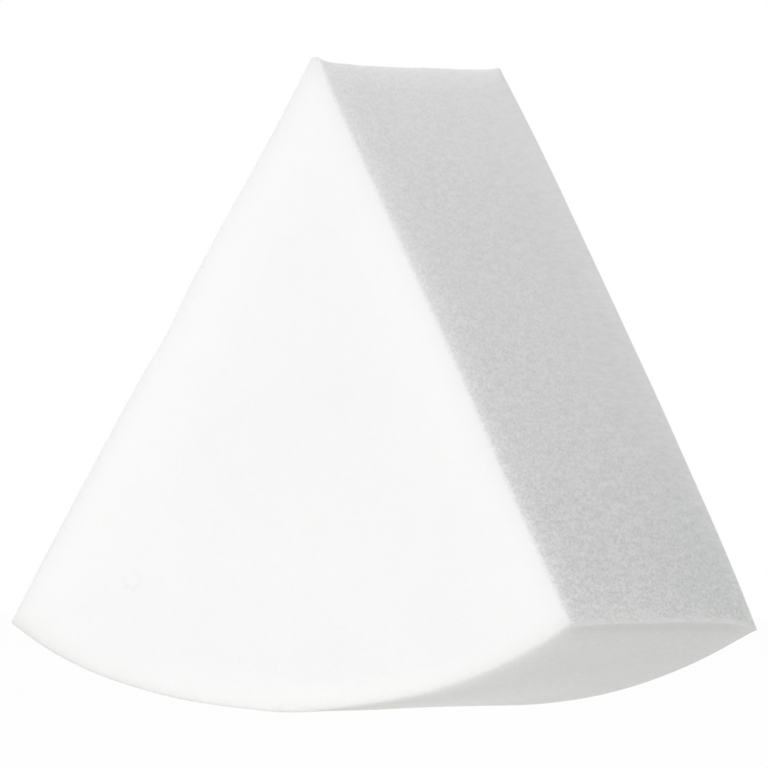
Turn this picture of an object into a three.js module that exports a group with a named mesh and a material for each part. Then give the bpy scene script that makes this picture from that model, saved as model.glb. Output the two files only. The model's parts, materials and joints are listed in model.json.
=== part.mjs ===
// A makeup sponge: one slice of a round wheel of foam, standing on the wheel's rim with its point up.
// Millimetres, +Z up. The thickness runs along Y, from the front face at -Y to the rear face at +Y.
// The origin is the middle of the slice's box, on the narrow flat that it stands on.

import * as THREE from 'three';

// Driving dimensions
const wheelRadius = 50.5; // from the wheel's middle, where the two cuts meet, to its rim
const slicesPerWheel = 6; // equal slices that one wheel is cut into
const foamThickness = 29.6; // between the two broad faces, measured along the cuts
const faceLean = 4.2; // degrees that both broad faces lean back, as the cuts run askew to them
const seatWidth = 5; // of the flat on the rim, where the foam gives under its own weight
const edgeRound = 0.4; // radius of the edges round both broad faces
const cornerRound = 0.2; // radius of the three corners of a broad face
const pointDip = 0.4; // drop of the point's edge at mid-thickness, where the cut foam draws in

// Steps that each round stretch is divided into
const arcSteps = 8;
const edgeSteps = 3;
const dipSteps = 8;

// Sizes that follow from those above
const halfAngle = Math.PI / slicesPerWheel; // between a cut face and the middle of the slice
const wheelMiddle = Math.sqrt(wheelRadius ** 2 - (seatWidth / 2) ** 2); // height above the seat
const sectionRound = cornerRound + edgeRound; // corner radius of the outline between the two faces
const pointCentre = wheelMiddle - sectionRound / Math.sin(halfAngle); // height of the point's rounding
const sliceHeight = pointCentre + sectionRound;

// Outline of the slice seen from the front, anticlockwise from the right end of the seat
function sliceOutline() {
  const down = -Math.PI / 2;
  const seatAngle = Math.asin(seatWidth / 2 / wheelRadius);
  const cornerReach = wheelRadius - sectionRound; // from the wheel's middle to a corner's rounding
  const cornerAngle = halfAngle - Math.asin(sectionRound / cornerReach);
  const cornerX = cornerReach * Math.sin(cornerAngle);
  const cornerZ = wheelMiddle - cornerReach * Math.cos(cornerAngle);

  const outline = new THREE.Shape();
  outline.absarc(0, wheelMiddle, wheelRadius, down + seatAngle, down + cornerAngle);
  outline.absarc(cornerX, cornerZ, sectionRound, down + cornerAngle, halfAngle);
  outline.absarc(0, pointCentre, sectionRound, halfAngle, Math.PI - halfAngle);
  outline.absarc(-cornerX, cornerZ, sectionRound, Math.PI - halfAngle, down - cornerAngle);
  outline.absarc(0, wheelMiddle, wheelRadius, down - cornerAngle, down - seatAngle);
  outline.closePath();
  return outline;
}

// The outline carried through the thickness, with the edges round both broad faces rounded off
function straightSlice() {
  const depth = foamThickness - 2 * edgeRound;
  const slice = new THREE.ExtrudeGeometry(sliceOutline(), {
    depth,
    steps: dipSteps,
    bevelThickness: edgeRound,
    bevelSize: edgeRound,
    bevelOffset: -edgeRound,
    bevelSegments: edgeSteps,
    curveSegments: arcSteps / 2, // an arc gets two divisions for each curve segment
  });
  slice.translate(0, 0, -depth / 2);
  slice.rotateX(Math.PI / 2);
  return slice;
}

// Each section shrinks towards the seat by its share of the dip, which grows as a parabola from
// nothing at the broad faces. The lean then shifts every point in Y by its height.
function drawInAndLean(slice) {
  const points = slice.attributes.position;
  const point = new THREE.Vector3();
  const lean = Math.tan(THREE.MathUtils.degToRad(faceLean));
  for (let i = 0; i < points.count; i += 1) {
    point.fromBufferAttribute(points, i);
    const across = point.y / (foamThickness / 2); // -1 at the front face, 1 at the rear face
    const drawnIn = 1 - (pointDip / sliceHeight) * (1 - across ** 2);
    point.x *= drawnIn;
    point.z *= drawnIn;
    point.y += (point.z - sliceHeight / 2) * lean;
    points.setXYZ(i, point.x, point.y, point.z);
  }
  slice.computeVertexNormals();
  return slice;
}

const whiteFoam = new THREE.MeshStandardMaterial({ color: 0xf4f4f2, roughness: 0.95, metalness: 0 });

const foamWedge = new THREE.Mesh(drawInAndLean(straightSlice()), whiteFoam);
foamWedge.name = 'foam_wedge';

const makeupSponge = new THREE.Group();
makeupSponge.add(foamWedge);

export default makeupSponge;
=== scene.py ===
import json
import math
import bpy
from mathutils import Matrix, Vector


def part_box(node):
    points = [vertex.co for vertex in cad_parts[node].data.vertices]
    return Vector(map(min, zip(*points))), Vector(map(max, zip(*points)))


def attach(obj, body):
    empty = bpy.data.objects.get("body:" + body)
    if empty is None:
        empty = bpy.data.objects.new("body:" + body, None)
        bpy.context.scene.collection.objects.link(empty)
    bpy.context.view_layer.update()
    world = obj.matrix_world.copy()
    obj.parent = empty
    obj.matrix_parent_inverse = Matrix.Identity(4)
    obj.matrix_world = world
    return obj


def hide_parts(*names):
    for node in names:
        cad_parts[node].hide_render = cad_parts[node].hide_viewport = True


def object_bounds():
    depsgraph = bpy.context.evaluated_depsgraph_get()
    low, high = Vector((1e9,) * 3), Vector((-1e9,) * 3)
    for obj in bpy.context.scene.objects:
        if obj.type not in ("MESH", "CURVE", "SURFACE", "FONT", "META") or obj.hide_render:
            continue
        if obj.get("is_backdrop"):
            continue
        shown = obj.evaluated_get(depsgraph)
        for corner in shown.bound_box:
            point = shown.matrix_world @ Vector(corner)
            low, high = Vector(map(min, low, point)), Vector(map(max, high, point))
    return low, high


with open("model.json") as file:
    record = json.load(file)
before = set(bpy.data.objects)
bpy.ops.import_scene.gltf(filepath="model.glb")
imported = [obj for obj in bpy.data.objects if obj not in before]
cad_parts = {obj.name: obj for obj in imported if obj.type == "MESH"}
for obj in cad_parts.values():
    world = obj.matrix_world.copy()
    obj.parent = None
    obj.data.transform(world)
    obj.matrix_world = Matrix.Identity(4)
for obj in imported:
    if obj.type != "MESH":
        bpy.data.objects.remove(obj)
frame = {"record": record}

from types import SimpleNamespace

import bpy
import numpy as np
from mathutils import Matrix, Vector

cadLow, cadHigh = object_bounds()  # the CAD box, before anything stands in for it
mm = 0.001  # metres in a millimetre

# Settings that several nodes share
multiply, multiplyAdd = {"operation": "MULTIPLY"}, {"operation": "MULTIPLY_ADD"}
larger = {"operation": "MAXIMUM"}
oneNumber = {"data_type": "FLOAT"}
inUnits = {"vector_type": "TEXTURE"}  # a mapping whose scale is the size of one unit of the pattern


# Colours are written as sRGB hex and turned to linear light here
def linear(hexColour):
    srgb = [int(hexColour[i:i + 2], 16) / 255 for i in (1, 3, 5)]
    light = [c / 12.92 if c <= 0.04045 else ((c + 0.055) / 1.055) ** 2.4 for c in srgb]
    return (*light, 1.0)


# Adds one node: settings are its attributes, inputs are plain values or sockets to link.
# An input is named as on the node, with _ for a space, or by its number as _0, _1 and so on.
def addNode(tree, kind, settings=None, **inputs):
    node = tree.nodes.new(kind)
    for name, value in (settings or {}).items():
        setattr(node, name, value)
    for name, value in inputs.items():
        socket = node.inputs[int(name[1:])] if name[0] == "_" else node.inputs[name.replace("_", " ")]
        if isinstance(value, bpy.types.NodeSocket):
            tree.links.new(value, socket)
        else:
            socket.default_value = value
    return node


# Foam wedge, in mm. Its overall size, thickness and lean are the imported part's own.
wedge = {
    "sliceAngle": 60.0,  # degrees between the two cuts
    "pointRadius": 0.15,  # round of the point's edge
    "cornerRadius": 0.15,  # round of the two lower edges
    "edgeRadius": 0.28,  # round of the edges of both broad faces
    "edgeNarrow": (0.6, 1.0),  # that round at the corners, as a share of theirs, and length of the change
    "seatWidth": 5.0,  # flat on the rim that it stands on

    # The cuts
    "crown": (0.28, 0.14),  # bulge of a cut's length at the front face, and at the rear
    "crownPower": 4,  # even, and higher for a flatter crown
    "cutHollow": 0.1,  # draw of the cuts at mid-thickness
    # Dent in the left cut, -1, and in the right, 1: distance from the point, depth, half length, and
    # reach from the front
    "cutDents": {-1: (23.9, 0.26, 2.7, 8.0), 1: (40.0, 0.21, 10.0, 8.0)},
    "tipCurl": ((0.45, 1.7), (0.2, 0.9)),  # height and length of the curl at the point's front, and rear
    "tipLean": 0.28,  # share by which the curl pushes the right cut more than the left
    "tipFade": 4.0,  # how far down a cut the curl is felt

    # The rim and the rear face
    # Lift of the lower edges behind the front face and how soon, drop of their rear ends and its length,
    # and for both the power of the way along the rim that keeps it to the edge
    "cornerLift": (0.36, 12.0, 6),
    "cornerDrop": (0.89, 1.95, 8),
    "rimFull": 0.58,  # fullness of the rim short of its corners
    "rimSkew": 0.1,  # the rim is longer at the left and shorter at the right
    "rimRise": (0.45, 0.16),  # lift of the rim's bottom at the rear, and the share of the rim that halves it
    "footDrop": (0.14, 2.8),  # drop of the rim's bottom at the front face, and its half width
    "stand": 0.2,  # lift of the whole block, which leaves that foot on the table
    "rearDraw": ((1.1, 4.4), (0.85, 6.0)),  # draw and length of the rear face's corners: the point, and low

    # What the knife leaves
    "lip": (0.1, 0.08),  # height and width of the burr along the lower edges
    "lipTrough": (0.1, 0.5),  # depth of the hollow under it, and its distance from the edge, which also places the painted shade under the burr
    "lipFade": 1.5,  # how near the faces the burr starts
    "lipUneven": (0.4, 4.0, 0.2, 1.6),  # share by which its height varies, over what length, least and most
    "drag": (0.008, (1.1, 4.5, 1.1)),  # depth of the drag on the cuts, and its wavelength in each axis
    "dragMargin": 2.0,  # how far in from a cut's edges the drag is full
    "wave": (0.03, 12.0),  # depth and length of a slow unevenness of the whole block

    # The finish of the surface
    "lipSmoothAndHighlight": 0.5,  # share of the cut's roughness that the burr lacks: smoother grain, and a paler painted highlight along the burr
    "rimGrain": 0.24,  # the rim's roughness as a share of a cut's
    "rearGrain": 0.3,  # the rear face's, likewise
    "cutFineness": 0.6,  # share of a cut's roughness that is lost towards the point
    "rearSoftness": (0.8, 6.0),  # share of its fine grain that is lost at the rear, and how far up it starts
    "smoothPatch": ((13.8, 12.5, 26.4), 6.5, 0.6),  # middle and radius of a smoother patch, and its share
    "rearPaintedShade": (1.1, 22.0),  # painted shade on the cuts low down at the rear, and its length
    "tipPaintedShade": (0.3, 1.4),  # painted shade on the cuts just under the point, and how far under
    "rimPaintedShade": (0.46, 2.3, 0.75),  # painted shade on the faces by the rim, how far in, share lost at its ends
    "pointPaintedShade": (0.22, 5.0),  # painted shade on the faces by the point, and how far in

    # The mesh
    "pitch": 0.29,  # mean spacing on the cuts, the rim and through the thickness
    "crowding": 0.7,  # share by which the spacing closes up towards the edges
    "faceRows": 24,  # rows from a face's edge to its middle
    "faceMiddle": 0.45,  # height of that middle, as a share of the block's
    "edgeRows": 5,  # rows round an edge
}


# Sum of sine waves with random directions and nearly the same length, one unit deep on average: a
# smooth unevenness of a given wavelength in each axis. Points is an array with x, y, z last.
def ripple(points, wavelength, seed, waves=48):
    draw = np.random.default_rng(seed)
    heading = draw.normal(size=(waves, 3))
    heading /= np.linalg.norm(heading, axis=1, keepdims=True)
    heading *= 2 * np.pi * draw.uniform(0.7, 1.4, (waves, 1)) / np.array(wavelength)
    phase = draw.uniform(0, 2 * np.pi, waves)
    return np.sin(points @ heading.T + phase).sum(-1) * math.sqrt(2 / waves)


# Rises from 0 to 1 at a given distance and dies away beyond it: d / L exp(1 - d / L)
def hump(distance, length):
    return distance / length * np.exp(1 - distance / length)


# Shares from 0 up to, but not at, 1 that lie closer together near both ends: u - c sin(2 pi u) / (2 pi)
def crowded(count, crowding):
    share = np.arange(count) / count
    return share - crowding * np.sin(2 * np.pi * share) / (2 * np.pi)


# The section's outline, anticlockwise from the bottom seen from the front. Each stretch is a circle of
# fixed radius whose middle slides along a straight line while its angle turns: rim, corner, cut, point.
# along is the distance from a lower corner in mm, up the cut as positive and along the rim as negative.
def outlineOf(shape, height):
    half = math.radians(shape["sliceAngle"] / 2)
    sharp, small = shape["pointRadius"], shape["cornerRadius"]
    hubHeight = height + sharp * (1 / math.sin(half) - 1)
    radius = math.hypot(hubHeight, shape["seatWidth"] / 2)
    turn = half - math.asin(small / (radius - small))
    hub = np.array([0, hubHeight])
    tip = np.array([0, hubHeight - sharp / math.sin(half)])
    corner = hub + (radius - small) * np.array([math.sin(turn), -math.cos(turn)])
    cutEnd = tip + (sharp - small) * np.array([math.cos(half), math.sin(half)])
    cutLength = math.dist(corner, cutEnd)
    rimLength = radius * turn
    down = -math.pi / 2
    bend = shape["edgeRows"]
    rimCount, cutCount = round(rimLength / shape["pitch"]), round(cutLength / shape["pitch"])
    stretches = [  # angles, middles, radius, share that is knife-cut, along, mesh steps
        ((down, down + turn), (hub, hub), radius, (0, 0), (-rimLength, 0), rimCount),
        ((down + turn, half), (corner, corner), small, (0, 1), (0, 0), bend),
        ((half, half), (corner, cutEnd), small, (1, 1), (0, cutLength), cutCount),
        ((half, math.pi / 2), (tip, tip), sharp, (1, 1), (cutLength, cutLength), bend),
    ]
    angle, middle, reach, cut, along = [], [], [], [], []
    for angles, middles, size, cuts, alongs, count in stretches:
        share = crowded(count, shape["crowding"] if count > bend else 0)  # even steps round a bend
        angle.append(angles[0] + (angles[1] - angles[0]) * share)
        middle.append(middles[0] + np.outer(share, middles[1] - middles[0]))
        reach.append(np.full(count, size))
        cut.append(cuts[0] + (cuts[1] - cuts[0]) * share)
        along.append(alongs[0] + (alongs[1] - alongs[0]) * share)
    angle = np.concatenate(angle)
    normal = np.stack([np.cos(angle), np.sin(angle)], 1)
    point = np.concatenate(middle) + np.concatenate(reach)[:, None] * normal
    # The left half is the right half mirrored, between the top of the point and the bottom of the rim
    mirror = np.array([-1, 1])
    point = np.concatenate([point, [[0, height]], (point * mirror)[:0:-1]])
    normal = np.concatenate([normal, [[0, 1]], (normal * mirror)[:0:-1]])
    cut, along = np.concatenate(cut), np.concatenate(along)
    cut = np.concatenate([cut, [1], cut[:0:-1]])
    along = np.concatenate([along, [cutLength], along[:0:-1]])
    # Which way each point goes when its cut moves out, and when its rim does: a corner goes with both
    side = np.sign(point[:, 0])
    cutWay = np.stack([side * math.cos(half), np.full_like(side, math.sin(half))], 1)
    rimWay = np.stack([side * math.sin(turn), np.full_like(side, -math.cos(turn))], 1)
    return {
        "point": point,
        "normal": normal,
        "cutWay": np.where(along[:, None] > 0, normal, cutWay),
        "rimWay": np.where(along[:, None] < 0, normal, rimWay),
        "cut": cut,
        "along": along,
        "cutLength": cutLength,
        "rimLength": rimLength,
    }


# The rows of the grid, from the middle of the front face out to its edge, round the edge, through the
# thickness, round the rear edge and in to the middle of the rear face. spread is the distance from a
# face's middle, inset the step in from the outline, tilt the normal's angle out of the section.
def rowsOf(shape, thickness):
    edge = shape["edgeRadius"]
    reach = thickness / 2
    spread = np.linspace(0, 1, shape["faceRows"] + 1)[1:]
    turn = np.linspace(0, math.pi / 2, shape["edgeRows"] + 1)[1:]
    wallCount = round((thickness - 2 * edge) / shape["pitch"])
    wall = (crowded(wallCount, shape["crowding"])[1:] * 2 - 1) * (reach - edge)
    face, bend, flat = np.ones_like(spread), np.ones_like(turn), np.zeros_like(wall)
    front = [
        np.concatenate([spread, bend]),
        np.concatenate([face * edge, edge * (1 - np.sin(turn))]),
        np.concatenate([face * -reach, edge * (1 - np.cos(turn)) - reach]),
        np.concatenate([face * -math.pi / 2, turn - math.pi / 2]),
    ]
    middle = [flat + 1, flat, wall, flat]
    rear = [front[0][::-1], front[1][::-1], -front[2][::-1], -front[3][::-1]]
    rows = [np.concatenate(part)[:, None] for part in zip(front, middle, rear)]
    return dict(zip(("spread", "inset", "y", "tilt"), rows))


# Where the points of the grid lie, in mm and in shares. The outline runs along a row and the thickness
# down a column, so each value is one row or one column, and together they fill the grid.
def layoutOf(shape, height, thickness):
    at = SimpleNamespace(**outlineOf(shape, height), **rowsOf(shape, thickness))
    at.fromFront, at.fromRear = at.y + thickness / 2, thickness / 2 - at.y
    at.fromFaces = np.minimum(at.fromFront, at.fromRear)
    at.rearShare = at.fromFront / thickness  # 0 at the front face, 1 at the rear
    at.upCut, at.alongRim = np.clip(at.along, 0, None), -np.clip(at.along, None, 0)
    at.fromTip = at.cutLength - at.upCut
    at.cutShare = at.upCut / at.cutLength  # 0 at the corner, 1 at the point
    at.rimShare = 1 - at.alongRim / at.rimLength  # 0 at the bottom, 1 at the corner
    return at


# How far the cuts move out: they crown down their length by 1 - (2 s - 1)^power, draw in at
# mid-thickness, curl up at the ends of the point, and each has a shallow dent behind the front face
def cutPushOf(shape, at):
    crownFront, crownRear = shape["crown"]
    crown = crownFront + (crownRear - crownFront) * at.rearShare
    push = crown * (1 - (2 * at.cutShare - 1) ** shape["crownPower"])
    push = push - shape["cutHollow"] * 4 * at.rearShare * (1 - at.rearShare)
    (curlFront, lengthFront), (curlRear, lengthRear) = shape["tipCurl"]
    curl = curlFront * np.exp(-at.fromFront / lengthFront) + curlRear * np.exp(-at.fromRear / lengthRear)
    rightward = at.normal[:, 0] / at.normal[:, 0].max()  # 1 on the right cut, -1 on the left
    push = push + curl * (1 + shape["tipLean"] * rightward) * np.exp(-at.fromTip / shape["tipFade"])
    for side, (down, depth, length, reach) in shape["cutDents"].items():
        dent = np.exp(-((at.fromTip - down) / length) ** 2) * (side * at.point[:, 0] > 0)
        push = push - depth * dent * np.exp(-at.fromFront / reach)
    return push * at.rimShare ** 2


# How far the rim moves out: its ends lift behind the front face and drop at the rear, it is full by
# 4 s^3 (1 - s) and askew, and its bottom has a foot at the front and rises to the rear
def rimPushOf(shape, at):
    (lift, soon, liftPower), (drop, length, dropPower) = shape["cornerLift"], shape["cornerDrop"]
    push = drop * np.exp(-at.fromRear / length) * at.rimShare ** dropPower
    push = push - lift * (1 - np.exp(-(at.fromFront / soon) ** 2)) * at.rimShare ** liftPower
    push = push + shape["rimFull"] * 4 * at.rimShare ** 3 * (1 - at.rimShare)
    push = push - shape["rimSkew"] * at.point[:, 0] / at.point[:, 0].max()
    (rise, half), (foot, width) = shape["rimRise"], shape["footDrop"]
    push = push - rise * at.rearShare / (1 + (at.rimShare / half) ** 2)
    push = push + foot * (1 - at.rearShare) * np.exp(-(at.rimShare * at.rimLength / width) ** 2)
    return push * (1 - at.cutShare)


# A burr of uneven height along the lower edges, exp(-(d / width)^2), and a hollow in the rim under it.
# Both start short of the broad faces and are about one unit high.
def burrOf(shape, at):
    run = 1 - np.exp(-at.fromFaces / shape["lipFade"])
    share, wavelength, least, most = shape["lipUneven"]
    alongEdge = np.stack([0 * at.y, at.y, 0 * at.y], -1)
    burr = np.clip(1 + share * ripple(alongEdge, wavelength, seed=11), least, most) * run
    lip = burr * np.exp(-(at.along / shape["lip"][1]) ** 2)
    # The hollow's band is also painted shade under the burr, through the finish
    trough = run * hump(at.alongRim, shape["lipTrough"][1])
    return lip, trough


# The surface's points: each row is the outline stepped in by its inset and moved with its cut and rim,
# then drawn towards the face's middle by its spread
def surfaceOf(shape, at, faceMiddle, cutMove, rimMove):
    # The round of the faces' edges narrows at the corners, whose own round leaves little room for it
    share, length = shape["edgeNarrow"]
    room = share * min(shape["cornerRadius"], shape["pointRadius"]) / shape["edgeRadius"]
    inset = at.inset * (1 - (1 - room) * np.exp(-np.minimum(np.abs(at.along), at.fromTip) / length))
    edge = [at.point[:, i] - inset * at.normal[:, i] + cutMove * at.cutWay[:, i] + rimMove * at.rimWay[:, i]
            for i in (0, 1)]
    x = edge[0] * at.spread
    z = faceMiddle + (edge[1] - faceMiddle) * at.spread
    # The rear face is domed: its corners are drawn forward, by the square of the spread, and the walls
    # follow by the fourth power of the way to the rear
    (drawTip, lengthTip), (drawLow, lengthLow) = shape["rearDraw"]
    draw = drawTip * np.exp(-at.fromTip / lengthTip) + drawLow * np.exp(-np.abs(at.along) / lengthLow)
    y = at.y - draw * at.rearShare ** 4 * at.spread ** 2
    return np.stack([x, y, z], -1)


# Knife drag on the cuts and slow unevenness all over, along the surface's own normal
def roughened(shape, at, place):
    margin = shape["dragMargin"]
    inner = np.clip(at.fromFaces / margin, 0, 1) * np.clip(at.upCut / margin, 0, 1)
    (dragDepth, dragLength), (waveDepth, waveLength) = shape["drag"], shape["wave"]
    bump = waveDepth * ripple(place, waveLength, seed=5)
    bump = bump + dragDepth * ripple(place, dragLength, seed=3) * at.cut * inner
    wall = np.cos(at.tilt)
    outward = [wall * at.normal[:, 0], np.sin(at.tilt) + 0 * at.along, wall * at.normal[:, 1]]
    return place + bump[..., None] * np.stack(outward, -1)


# The finish at each point: how rough the knife left it, how crisp its grain is, and how much painted
# shade darkens it
def finishOf(shape, at, place, height, faceMiddle, lip, trough):
    wall, face = np.cos(at.tilt), np.abs(np.sin(at.tilt))
    knifeCut = (at.cut + shape["rimGrain"] * (1 - at.cut)) * wall
    # The burr's smaller roughness also leaves its colour paler, a painted highlight along the lower edges
    knifeCut = knifeCut * (1 - shape["lipSmoothAndHighlight"] * np.clip(lip, 0, 1))
    knifeCut = knifeCut * (1 - shape["cutFineness"] * at.cutShare)
    knifeCut = knifeCut + shape["rearGrain"] * np.clip(np.sin(at.tilt), 0, None)

    softness, length = shape["rearSoftness"]
    patchMiddle, patchRadius, patchShare = shape["smoothPatch"]
    soft = softness * wall * at.rearShare ** 2 * (1 - np.exp(-at.upCut / length))
    smooth = patchShare * np.exp(-(((place - patchMiddle) / patchRadius) ** 2).sum(-1))
    crisp = (1 - soft) * (1 - smooth)

    # Painted shade on the cuts, low down at the rear and just under the point
    (shadeRear, lengthRear), (shadeTip, lengthTip) = shape["rearPaintedShade"], shape["tipPaintedShade"]
    cutShade = shadeRear * at.rearShare ** 2 * np.exp(-at.upCut / lengthRear)
    cutShade = cutShade + shadeTip * hump(at.fromTip, lengthTip)
    # The broad faces carry a little painted shade short of the rim, most at its bottom, and short of the
    # point
    across = at.point[:, 0] * at.spread
    under = (height - faceMiddle) - (at.point[:, 1] - faceMiddle) * at.spread
    fromPoint = np.hypot(across, under)
    fromRim = np.clip(height - fromPoint, 0, None)
    turned = np.arctan2(across, under) / math.radians(shape["sliceAngle"] / 2)
    (shadeRim, lengthRim, ease), (shadePoint, lengthPoint) = shape["rimPaintedShade"], shape["pointPaintedShade"]
    faceShade = shadeRim * (1 - ease * turned ** 2) * hump(fromRim, lengthRim)
    faceShade = faceShade + shadePoint * hump(fromPoint, lengthPoint)
    # Painted shade: the band under the burr, the cuts low at the rear and under the point, and the broad
    # faces by the rim and the point
    paintedShade = wall * (trough + at.cut * cutShade) + face * faceShade
    return {"knifeCut": knifeCut, "crisp": crisp, "paintedShade": paintedShade}


# The wedge's mesh in metres: the shaped grid stands on the table and leans back with height as the packed
# part does, and carries its finish as attributes
def makeWedge(shape):
    low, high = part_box("foam_wedge")
    mounts = {m["name"]: m for m in frame["record"]["mounts"]}
    front, rear = mounts["front_face"], mounts["rear_face"]
    thickness = (rear["pos_m"][1] - front["pos_m"][1]) / mm
    lean = -front["axis"][2] / front["axis"][1]  # shift in Y for each mm of height
    leanHeight = front["pos_m"][2] / mm  # height that the lean turns about
    height = (high[2] - low[2]) / mm
    faceMiddle = height * shape["faceMiddle"]

    at = layoutOf(shape, height, thickness)
    lip, trough = burrOf(shape, at)
    cutMove = cutPushOf(shape, at) + shape["lip"][0] * lip
    rimMove = rimPushOf(shape, at) - shape["lipTrough"][0] * trough
    place = surfaceOf(shape, at, faceMiddle, cutMove, rimMove)
    grid = roughened(shape, at, place)
    grid[..., 2] = np.maximum(grid[..., 2] + shape["stand"], 0)
    grid[..., 1] += (grid[..., 2] - leanHeight) * lean

    # Grid of quads closed round the outline, with one point at the middle of each broad face
    rows, columns = grid.shape[:2]
    poles = [grid[0].mean(0), grid[-1].mean(0)]
    index = np.arange(rows * columns).reshape(rows, columns)
    nextUp = np.roll(index, -1, axis=1)
    quads = np.stack([index[:-1], index[1:], nextUp[1:], nextUp[:-1]], -1).reshape(-1, 4)
    frontFan = np.stack([np.full(columns, rows * columns), index[0], nextUp[0]], -1)
    rearFan = np.stack([np.full(columns, rows * columns + 1), nextUp[-1], index[-1]], -1)
    mesh = bpy.data.meshes.new("foamWedge")
    mesh.from_pydata(np.concatenate([grid.reshape(-1, 3), poles]) * mm, [],
                     quads.tolist() + frontFan.tolist() + rearFan.tolist())
    mesh.shade_smooth()
    for name, value in finishOf(shape, at, place, height, faceMiddle, lip, trough).items():
        attribute = mesh.attributes.new(name, "FLOAT", "POINT")
        attribute.data.foreach_set("value", np.append(value.ravel(), [0, 0]))  # none at the two poles
    piece = bpy.data.objects.new("foamWedge", mesh)
    bpy.context.collection.objects.link(piece)
    print("wedge:", rows, "x", columns, "grid,", len(quads) * 2 + 2 * columns, "triangles")
    return piece


# Open-celled white foam, cut with a knife: dead matt, faintly see-through at its edges, with a fine even
# grain of cut cells and short drag marks across the cuts. The rim and broad faces are smoother.
foam = {
    "pale": "#f8f8f8",
    "dull": "#dfe1e0",
    "roughness": 0.95,
    "specular": 0.2,
    "scatter": 4.0,  # mm that light travels inside
    "cell": 0.2,  # mm between cells
    "cellStretch": 2.6,  # how much longer a cell is through the thickness
    "cellSlant": 20,  # degrees by which the long cells rise towards the rear
    "drag": (0.35, 1.6),  # mm across a knife mark, and along it
    "dragShare": 0.42,  # height of the knife marks as a share of the cells'
    "patch": 6.0,  # mm between slow changes of tone
    "faceGrain": 0.08,  # roughness of a face that was not cut, as a share of a cut's
    "bumpDepth": 0.12,  # mm of relief at full height
    "lowRange": (0.91, 0.51),  # relief at which the dull colour, painted shade in the pores, starts, and is full
    "dullShare": {"patch": 0.11, "paintedShade": 0.6, "nick": 0.25},  # dull colour in random patches, in the painted shade, and in the nick's painted shade
    # Painted shade of a faint nick in the front face, a crescent: middle, radius and width in mm
    "nick": ((-14.27, -15.9, 10.1), 0.68, 0.4),
}


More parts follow.
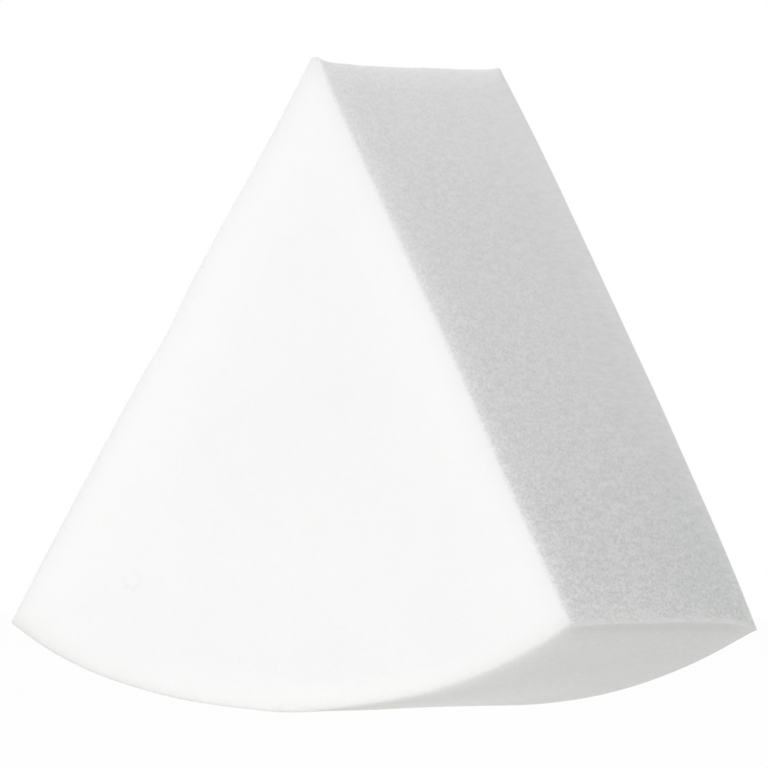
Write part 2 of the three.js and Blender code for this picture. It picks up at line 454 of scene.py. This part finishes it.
def foamMaterial(look):
    material = bpy.data.materials.new("whiteOpenCellFoam")
    material.use_nodes = True
    tree = material.node_tree
    shader = tree.nodes["Principled BSDF"]
    shader.inputs["Roughness"].default_value = look["roughness"]
    shader.inputs["Specular IOR Level"].default_value = look["specular"]
    shader.inputs["Subsurface Weight"].default_value = 1.0
    shader.inputs["Subsurface Radius"].default_value = (1, 1, 1)
    shader.inputs["Subsurface Scale"].default_value = look["scatter"] * mm

    place = addNode(tree, "ShaderNodeTexCoord").outputs["Object"]
    knifeCut, crisp, paintedShade = [addNode(tree, "ShaderNodeAttribute", {"attribute_name": name}).outputs["Fac"]
                                for name in ("knifeCut", "crisp", "paintedShade")]
    rough = addNode(tree, "ShaderNodeMath", multiplyAdd, _0=knifeCut,
                    _1=1 - look["faceGrain"], _2=look["faceGrain"]).outputs[0]

    # Three noises: size in mm across and through the thickness, and slant in degrees
    sizes = {
        "cells": (look["cell"], look["cell"] * look["cellStretch"], look["cellSlant"]),
        "drag": (*look["drag"], 0),
        "patch": (look["patch"], look["patch"], 0),
    }
    noise = {}
    for name, (width, length, slant) in sizes.items():
        spread = addNode(tree, "ShaderNodeMapping", inUnits, Vector=place,
                         Rotation=(math.radians(slant), 0, 0), Scale=(width * mm, length * mm, width * mm))
        speckle = addNode(tree, "ShaderNodeTexNoise", Vector=spread.outputs[0], Scale=1.0, Detail=2.0)
        noise[name] = speckle.outputs["Fac"]

    # Relief of cells and knife marks. Where the grain isn't crisp, the cells go to their mean of a half.
    cells = addNode(tree, "ShaderNodeMix", oneNumber, _0=crisp, _2=0.5, _3=noise["cells"]).outputs[0]
    both = addNode(tree, "ShaderNodeMath", multiplyAdd,
                   _0=noise["drag"], _1=look["dragShare"], _2=cells).outputs[0]
    relief = addNode(tree, "ShaderNodeMath", multiply, _0=both, _1=rough).outputs[0]
    bump = addNode(tree, "ShaderNodeBump", Strength=1.0, Distance=look["bumpDepth"] * mm, Height=relief)
    tree.links.new(bump.outputs["Normal"], shader.inputs["Normal"])

    # The nick's painted shade is the lower part of a ring, broken up by the grain
    middle, radius, width = look["nick"]
    high, low = look["lowRange"]
    # Low relief marks the pores, whose shade is painted into the colour
    hollow = addNode(tree, "ShaderNodeMapRange", Value=both, _1=high, _2=low).outputs[0]
    away = addNode(tree, "ShaderNodeVectorMath", {"operation": "DISTANCE"}, _0=place,
                   _1=Vector(middle) * mm).outputs["Value"]
    away = addNode(tree, "ShaderNodeMath", {"operation": "SUBTRACT"}, _0=away, _1=radius * mm).outputs[0]
    away = addNode(tree, "ShaderNodeMath", {"operation": "ABSOLUTE"}, _0=away).outputs[0]
    ring = addNode(tree, "ShaderNodeMapRange", Value=away, _1=width * mm, _2=0.0).outputs[0]
    height = addNode(tree, "ShaderNodeSeparateXYZ", Vector=place).outputs["Z"]
    below = addNode(tree, "ShaderNodeMapRange", Value=height,
                    _1=(middle[2] + radius) * mm, _2=middle[2] * mm).outputs[0]
    nick = addNode(tree, "ShaderNodeMath", multiply, _0=ring, _1=below).outputs[0]
    nick = addNode(tree, "ShaderNodeMath", multiply, _0=nick, _1=hollow).outputs[0]

    # Dull where the relief is low, which is painted shade in the pores, in slow random patches, in the
    # painted shade, and in the painted shade of the nick
    dull = addNode(tree, "ShaderNodeMath", multiply, _0=hollow, _1=rough).outputs[0]
    for name, source in (("patch", noise["patch"]), ("paintedShade", paintedShade), ("nick", nick)):
        dull = addNode(tree, "ShaderNodeMath", multiplyAdd,
                       _0=source, _1=look["dullShare"][name], _2=dull).outputs[0]
    tone = addNode(tree, "ShaderNodeMix", {"data_type": "RGBA", "clamp_factor": False}, _0=dull,
                   _6=linear(look["pale"]), _7=linear(look["dull"]))
    tree.links.new(tone.outputs[2], shader.inputs["Base Color"])
    print("material:", material.name)
    return material


# Floor and studio light. Lengths in mm, angles in degrees, levels as a white surface shows them.
studio = {
    "floorSize": 8000,
    "floorColour": "#949494",  # the floor is an opal table lit from below, which lights the underside
    "glowColour": "#fffffc",
    "glow": (0.377, 0.225, 40),  # level, extra level under the object, and the reach of that
    "whiteShare": 0.97,  # how much of the floor seen by the camera is plain white, the rest keeps shadow
    "ambient": 0.514,
    "aimHeight": 25,  # height that the lamps point at
    "lamps": {
        "key": {"size": 900, "distance": 1400, "azimuth": -20, "elevation": 20, "watts": 10.35},
        "top": {"size": 80, "distance": 130, "azimuth": 100, "elevation": 75, "watts": 0.00895},
        "fill": {"size": 600, "distance": 900, "azimuth": 75, "elevation": 35, "watts": 0.94},
        "back": {"size": 900, "distance": 1400, "azimuth": 190, "elevation": 15, "watts": 1.5},
    },
}


# 1 for rays that show the background to the eye, 0 for those that carry light
def seenRays(tree):
    rays = addNode(tree, "ShaderNodeLightPath").outputs
    seen = addNode(tree, "ShaderNodeMath", larger,
                   _0=rays["Is Camera Ray"], _1=rays["Is Glossy Ray"]).outputs[0]
    return addNode(tree, "ShaderNodeMath", larger, _0=seen, _1=rays["Is Transmission Ray"]).outputs[0]


# One square at height 0: white to the eye, with a trace of the lit and shaded table mixed in
def makeFloor(look):
    half = look["floorSize"] / 2 * mm
    corners = [(-half, -half, 0), (half, -half, 0), (half, half, 0), (-half, half, 0)]
    mesh = bpy.data.meshes.new("studioFloor")
    mesh.from_pydata(corners, [], [(0, 1, 2, 3)])
    floor = bpy.data.objects.new("studioFloor", mesh)
    bpy.context.collection.objects.link(floor)
    material = bpy.data.materials.new("litOpalTable")
    material.use_nodes = True
    tree = material.node_tree
    tree.nodes.clear()
    share = addNode(tree, "ShaderNodeMath", multiply, _0=seenRays(tree), _1=look["whiteShare"])
    paper = addNode(tree, "ShaderNodeBsdfDiffuse", Color=linear(look["floorColour"]))
    level, extra, reach = look["glow"]
    place = addNode(tree, "ShaderNodeTexCoord").outputs["Object"]
    near = addNode(tree, "ShaderNodeMapping", inUnits, Vector=place, Scale=[reach * mm] * 3).outputs[0]
    near = addNode(tree, "ShaderNodeTexGradient", {"gradient_type": "SPHERICAL"}, Vector=near).outputs["Fac"]
    strength = addNode(tree, "ShaderNodeMath", multiplyAdd, _0=near, _1=extra, _2=level).outputs[0]
    glow = addNode(tree, "ShaderNodeEmission", Color=linear(look["glowColour"]), Strength=strength)
    lit = addNode(tree, "ShaderNodeAddShader", _0=paper.outputs[0], _1=glow.outputs[0])
    white = addNode(tree, "ShaderNodeEmission", Strength=1.0)
    mixed = addNode(tree, "ShaderNodeMixShader",
                    _0=share.outputs[0], _1=lit.outputs[0], _2=white.outputs[0])
    addNode(tree, "ShaderNodeOutputMaterial", Surface=mixed.outputs[0])
    mesh.materials.append(material)
    floor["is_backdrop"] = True
    print("floor:", look["floorSize"], "mm")


# Direction from the object to a place at an azimuth from the front, towards +X, and an elevation
def aim(azimuth, elevation):
    turn, rise = math.radians(azimuth), math.radians(elevation)
    return Vector((math.sin(turn) * math.cos(rise), -math.cos(turn) * math.cos(rise), math.sin(rise)))


# Stands a lamp or camera at a place with its back to a direction, its top up, and a roll in degrees
def facing(back, place, roll=0.0):
    right = Vector((0, 0, 1)).cross(back).normalized()
    turned = Matrix.Rotation(math.radians(roll), 3, back)
    right, up = turned @ right, turned @ back.cross(right)
    return Matrix.Translation(place) @ Matrix((right, up, back)).transposed().to_4x4()


# Even air that is white to the eye, and a soft square lamp for each entry, turned to the object's middle
def makeLight(look):
    world = bpy.data.worlds.new("studioAir")
    world.use_nodes = True
    tree = world.node_tree
    tree.nodes.clear()
    level = addNode(tree, "ShaderNodeMix", oneNumber, _0=seenRays(tree), _2=look["ambient"], _3=1.0)
    air = addNode(tree, "ShaderNodeBackground", Color=(1, 1, 1, 1), Strength=level.outputs[0])
    addNode(tree, "ShaderNodeOutputWorld", Surface=air.outputs[0])
    bpy.context.scene.world = world
    middle = Vector((0, 0, look["aimHeight"])) * mm
    for name, lamp in look["lamps"].items():
        light = bpy.data.lights.new(name + "Softbox", "AREA")
        light.size = lamp["size"] * mm
        light.energy = lamp["watts"]
        box = bpy.data.objects.new(light.name, light)
        back = aim(lamp["azimuth"], lamp["elevation"])
        box.matrix_world = facing(back, middle + back * lamp["distance"] * mm)
        bpy.context.collection.objects.link(box)
    print("light: ambient", look["ambient"], "with", ", ".join(look["lamps"]))


# Camera at the photograph's viewing angle, in mm and degrees
shot = {
    "target": (-0.80, -0.48, 25.39),  # what the middle of the picture looks at
    "azimuth": 30.06,
    "elevation": -0.46,
    "roll": 0.29,
    "distance": 1859,
    "lens": 1125,
    "sensor": 36,
    "clip": (10, 100000),  # nearest and furthest that it sees
}


def makeCamera(look):
    lens = bpy.data.cameras.new("camera")
    lens.lens = look["lens"]
    lens.sensor_width = look["sensor"]
    lens.clip_start, lens.clip_end = [distance * mm for distance in look["clip"]]
    camera = bpy.data.objects.new("camera", lens)
    back = aim(look["azimuth"], look["elevation"])
    stand = (Vector(look["target"]) + back * look["distance"]) * mm
    camera.matrix_world = facing(back, stand, look["roll"])
    bpy.context.collection.objects.link(camera)
    bpy.context.scene.camera = camera
    print("camera:", look["lens"], "mm lens at", look["distance"], "mm")


bpy.context.scene.view_settings.view_transform = "Standard"
makeCamera(shot)
makeLight(studio)
makeFloor(studio)
foamWedge = makeWedge(wedge)
foamWedge.data.materials.append(foamMaterial(foam))
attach(foamWedge, "root")
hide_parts("foam_wedge")

visualLow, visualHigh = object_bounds()
for name, size in (("CAD", cadHigh - cadLow), ("visual", visualHigh - visualLow)):
    print("size:", name, [round(v, 5) for v in size])
